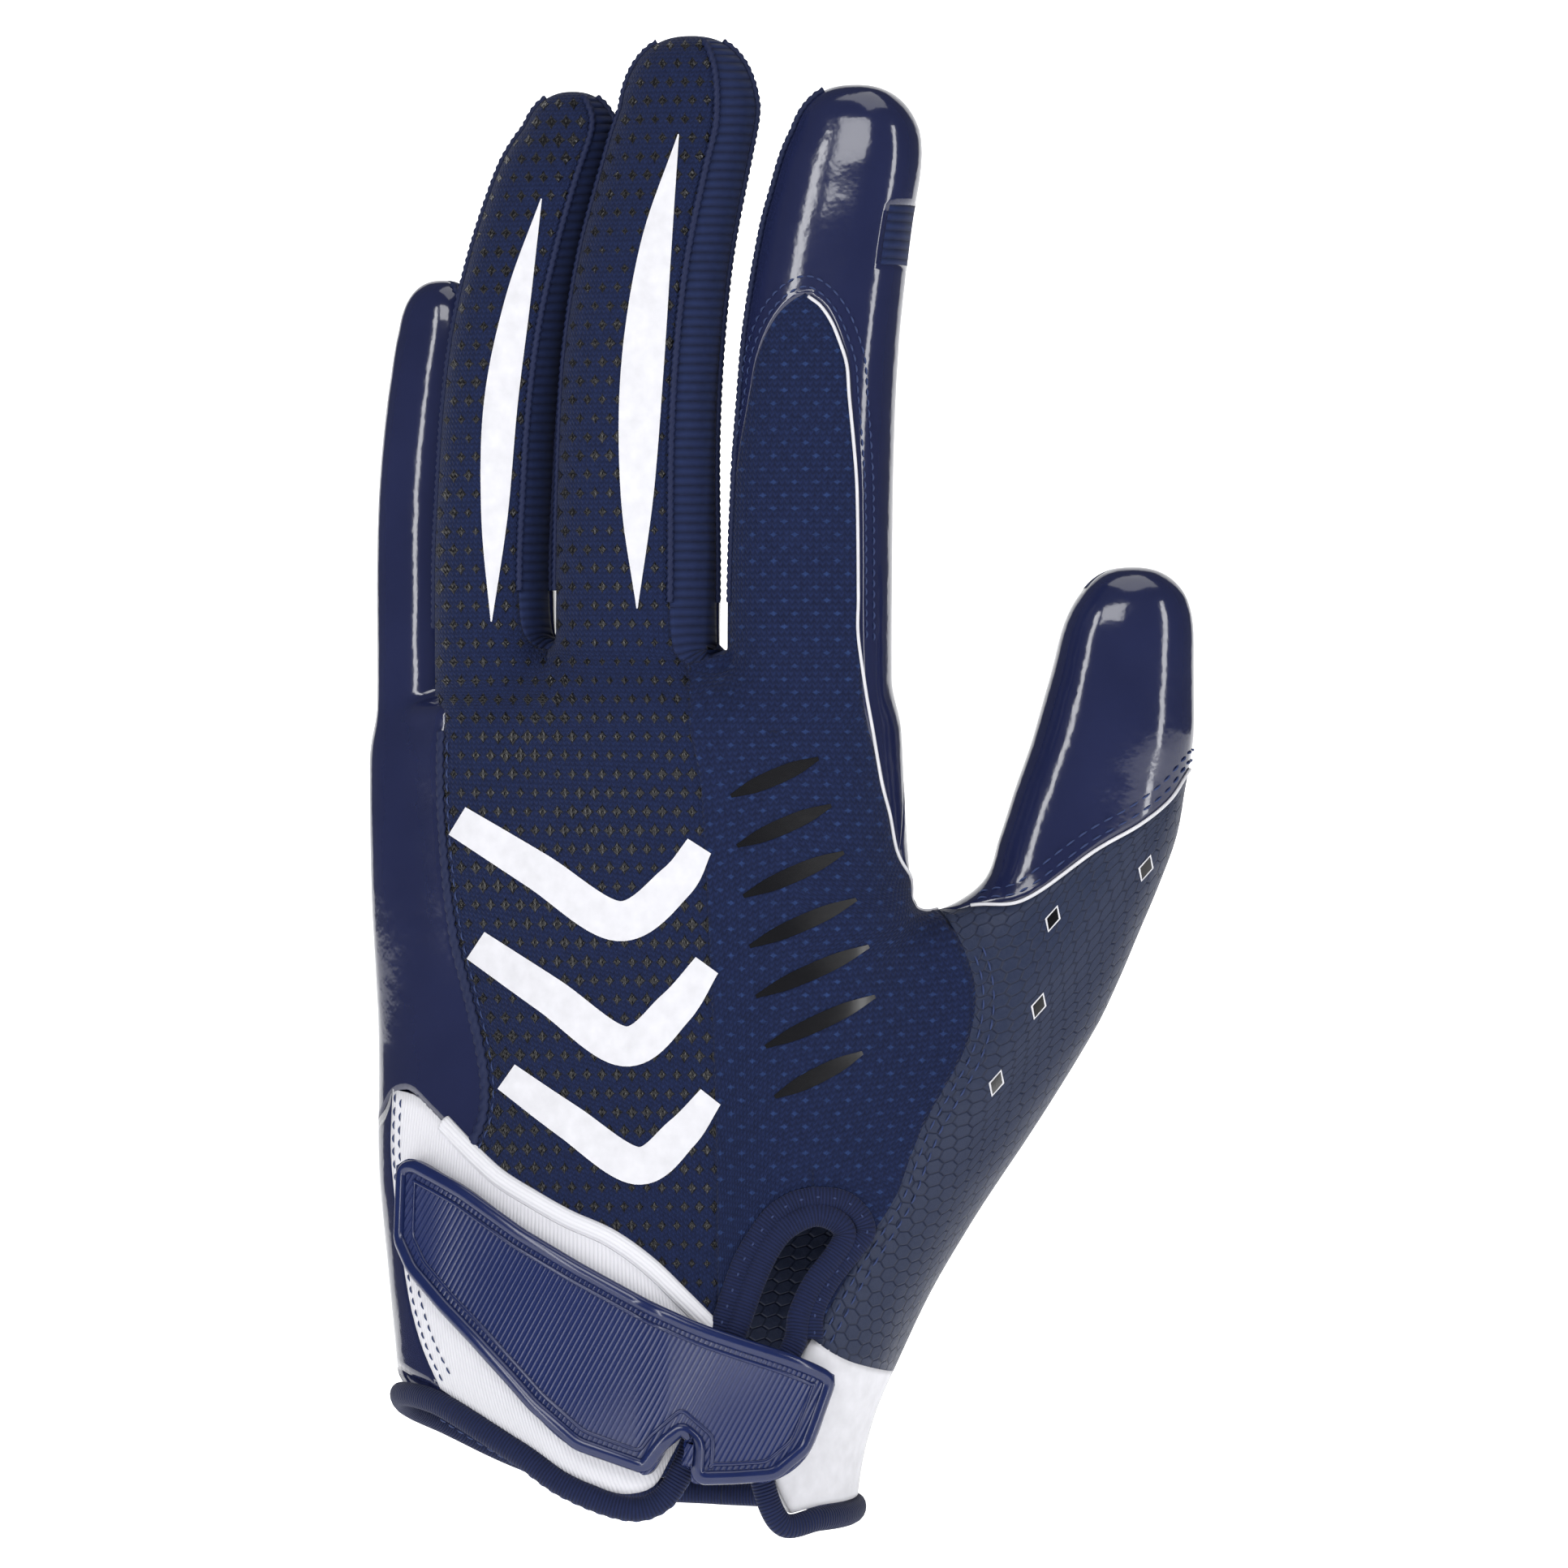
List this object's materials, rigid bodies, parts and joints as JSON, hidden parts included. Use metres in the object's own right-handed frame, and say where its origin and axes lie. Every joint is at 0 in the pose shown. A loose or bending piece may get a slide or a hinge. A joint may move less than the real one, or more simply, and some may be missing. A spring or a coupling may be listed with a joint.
{
  "type": "football receiver glove",
  "caption": "Close-fitting left-hand sports glove with a knit back, gloss grip panels, leather thumb base, split wrist and moulded wrist strap.",
  "frame": {"origin": "middle of the wrist opening, level with the lower edge of the strap's low corner", "axes": "+Z from the wrist to the fingertips, -Y is the back of the hand, +Y the palm, +X the thumb side"},
  "size_m": [0.1329, 0.059, 0.24],
  "materials": {
    "knit": "navy knit with raised gloss dots",
    "side_knit": "ribbed navy knit",
    "gloss": "gloss navy coated fabric",
    "grip": "tacky navy palm coating",
    "leather": "embossed navy leather",
    "white": "white jersey",
    "binding": "ribbed navy binding",
    "strap": "moulded gloss navy"
  },
  "bodies": {
    "root": {"back_panel": "knit", "fourchette_pinkie_ring": "side_knit", "fourchette_ring_middle": "side_knit", "fourchette_middle_index": "side_knit", "pinkie_wrap": "gloss", "index_wrap": "gloss", "index_tip_gusset": "side_knit", "thumb_wrap": "gloss", "thumb_tip_gusset": "side_knit", "thumb_leather": "leather", "palm_panel": "grip", "cuff_back": "white", "cuff_side_strip": "gloss", "cuff_palm": "side_knit", "cuff_tab": "white", "cuff_binding_main": "binding", "vent_binding": "binding", "cuff_binding_tab": "binding", "wrist_strap": "strap"}
  },
  "joints": []
}
